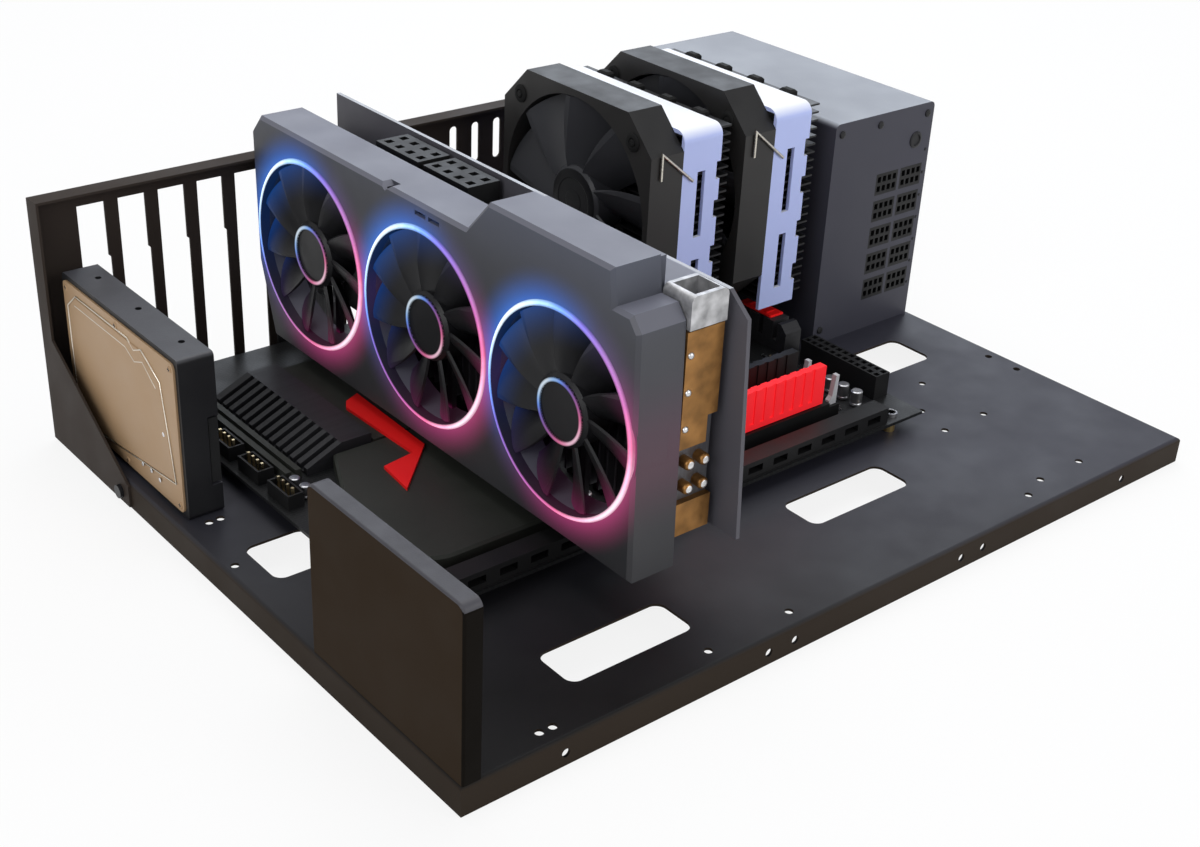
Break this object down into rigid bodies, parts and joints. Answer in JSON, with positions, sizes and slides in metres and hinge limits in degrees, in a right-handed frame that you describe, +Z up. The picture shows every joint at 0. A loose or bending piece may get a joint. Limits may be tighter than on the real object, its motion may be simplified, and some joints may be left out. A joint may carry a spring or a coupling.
{
  "type": "open air test bench",
  "caption": "Open folded-metal computer test bench carrying a mainboard with tower cooler and memory, a triple-fan graphics card, a power supply and a drive.",
  "frame": {"origin": "under the middle of the bench, on the plane it stands on", "axes": "+X right along the rear panel, +Y to the rear panel, +Z up"},
  "size_m": [0.446, 0.338, 0.165],
  "materials": {
    "bench_sheet": "satin black powder coat",
    "screw_steel": "plated steel",
    "brass_post": "turned brass",
    "board_black": "black board lacquer",
    "heatsink_dark": "dark anodised",
    "cover_dark": "dark moulded",
    "trim_red": "bright red",
    "socket_black": "black moulded",
    "port_steel": "plated shell",
    "lid_nickel": "nickel plated",
    "memory_red": "red anodised",
    "memory_black": "black anodised",
    "latch_grey": "pale grey",
    "cooler_nickel": "nickel plated",
    "fin_dark": "black coated",
    "cover_white": "white moulded",
    "fan_black": "black moulded",
    "pad_rubber": "soft black",
    "wire_steel": "spring wire",
    "shroud_grey": "dark grey moulded",
    "light_ring": "translucent, lit",
    "card_sink": "plain fins",
    "copper": "copper",
    "bright_metal": "bright",
    "backplate_black": "satin black",
    "bracket_steel": "plated sheet",
    "psu_grey": "dark grey coat",
    "inner_board": "green board",
    "inner_parts": "mixed inner parts",
    "rocker_black": "black",
    "drive_black": "black coated casting",
    "drive_plate": "warm bright plate"
  },
  "bodies": {
    "bench": {"base_tray": "bench_sheet", "rear_panel": "bench_sheet", "side_panel": "bench_sheet", "bench_screws": "screw_steel", "standoffs": "brass_post", "board_screws": "screw_steel", "mainboard": "board_black", "chipset_heatsink": "heatsink_dark", "board_covers": "cover_dark", "red_trim": "trim_red", "board_edge_sockets": "socket_black", "left_headers": "socket_black", "vrm_heatsinks": "heatsink_dark", "io_ports": "port_steel", "cpu_socket": "socket_black", "processor": "lid_nickel", "board_power_sockets": "socket_black", "dimm_slots": "socket_black", "memory_module_1": "memory_red", "memory_module_2": "memory_black", "cooler_base": "cooler_nickel", "heat_pipes": "cooler_nickel", "fin_stack_1": "fin_dark", "fin_stack_2": "fin_dark", "tower_cover_1": "cover_white", "tower_cover_2": "cover_white", "tower_pads": "pad_rubber", "cooler_fan_frame_1": "fan_black", "cooler_fan_frame_2": "fan_black", "fan_clips": "wire_steel", "card_shroud": "shroud_grey", "light_rings": "light_ring", "card_heatsink": "card_sink", "copper_ends": "copper", "tail_bracket": "bright_metal", "card_board": "board_black", "card_slot_socket": "socket_black", "backplate": "backplate_black", "card_bracket": "bracket_steel", "card_ports": "port_steel", "card_power_socket": "socket_black", "psu_case": "psu_grey", "psu_sockets": "socket_black", "psu_fan_frame": "fan_black", "psu_inlet": "socket_black", "psu_board": "inner_board", "psu_parts": "inner_parts", "drive_base": "drive_black", "drive_cover": "drive_plate", "drive_board": "board_black"},
    "card_fan_1": {"card_rotor_1": "fan_black"},
    "card_fan_2": {"card_rotor_2": "fan_black"},
    "card_fan_3": {"card_rotor_3": "fan_black"},
    "cooler_fan_1": {"cooler_rotor_1": "fan_black"},
    "cooler_fan_2": {"cooler_rotor_2": "fan_black"},
    "psu_fan": {"psu_rotor": "fan_black"},
    "psu_switch": {"psu_rocker": "rocker_black"},
    "memory_latch_1": {"dimm_latch_1": "latch_grey"},
    "memory_latch_2": {"dimm_latch_2": "latch_grey"}
  },
  "joints": [
    {"name": "card_fan_1_spin", "type": "hinge", "parent": "bench", "child": "card_fan_1", "pos_m": [-0.10505, 0.1055, 0.0924], "axis": [1, 0, 0], "continuous": true},
    {"name": "card_fan_2_spin", "type": "hinge", "parent": "bench", "child": "card_fan_2", "pos_m": [-0.10505, 0.011, 0.0924], "axis": [1, 0, 0], "continuous": true},
    {"name": "card_fan_3_spin", "type": "hinge", "parent": "bench", "child": "card_fan_3", "pos_m": [-0.10505, -0.0835, 0.0924], "axis": [1, 0, 0], "continuous": true},
    {"name": "cooler_fan_1_spin", "type": "hinge", "parent": "bench", "child": "cooler_fan_1", "pos_m": [0.02635, 0.07, 0.104], "axis": [1, 0, 0], "continuous": true},
    {"name": "cooler_fan_2_spin", "type": "hinge", "parent": "bench", "child": "cooler_fan_2", "pos_m": [0.08735, 0.07, 0.104], "axis": [1, 0, 0], "continuous": true},
    {"name": "psu_fan_spin", "type": "hinge", "parent": "bench", "child": "psu_fan", "pos_m": [0.20785, 0.0805, 0.0757], "axis": [1, 0, 0], "continuous": true},
    {"name": "psu_switch_rock", "type": "hinge", "parent": "bench", "child": "psu_switch", "pos_m": [0.17, 0.16, 0.0794], "axis": [1, 0, 0], "range_deg": [0, 16]},
    {"name": "memory_latch_1_swing", "type": "hinge", "parent": "bench", "child": "memory_latch_1", "pos_m": [0.0788, -0.06, 0.0255], "axis": [0, 1, 0], "range_deg": [0, 25]},
    {"name": "memory_latch_2_swing", "type": "hinge", "parent": "bench", "child": "memory_latch_2", "pos_m": [0.0788, -0.0412, 0.0255], "axis": [0, 1, 0], "range_deg": [0, 25]}
  ]
}
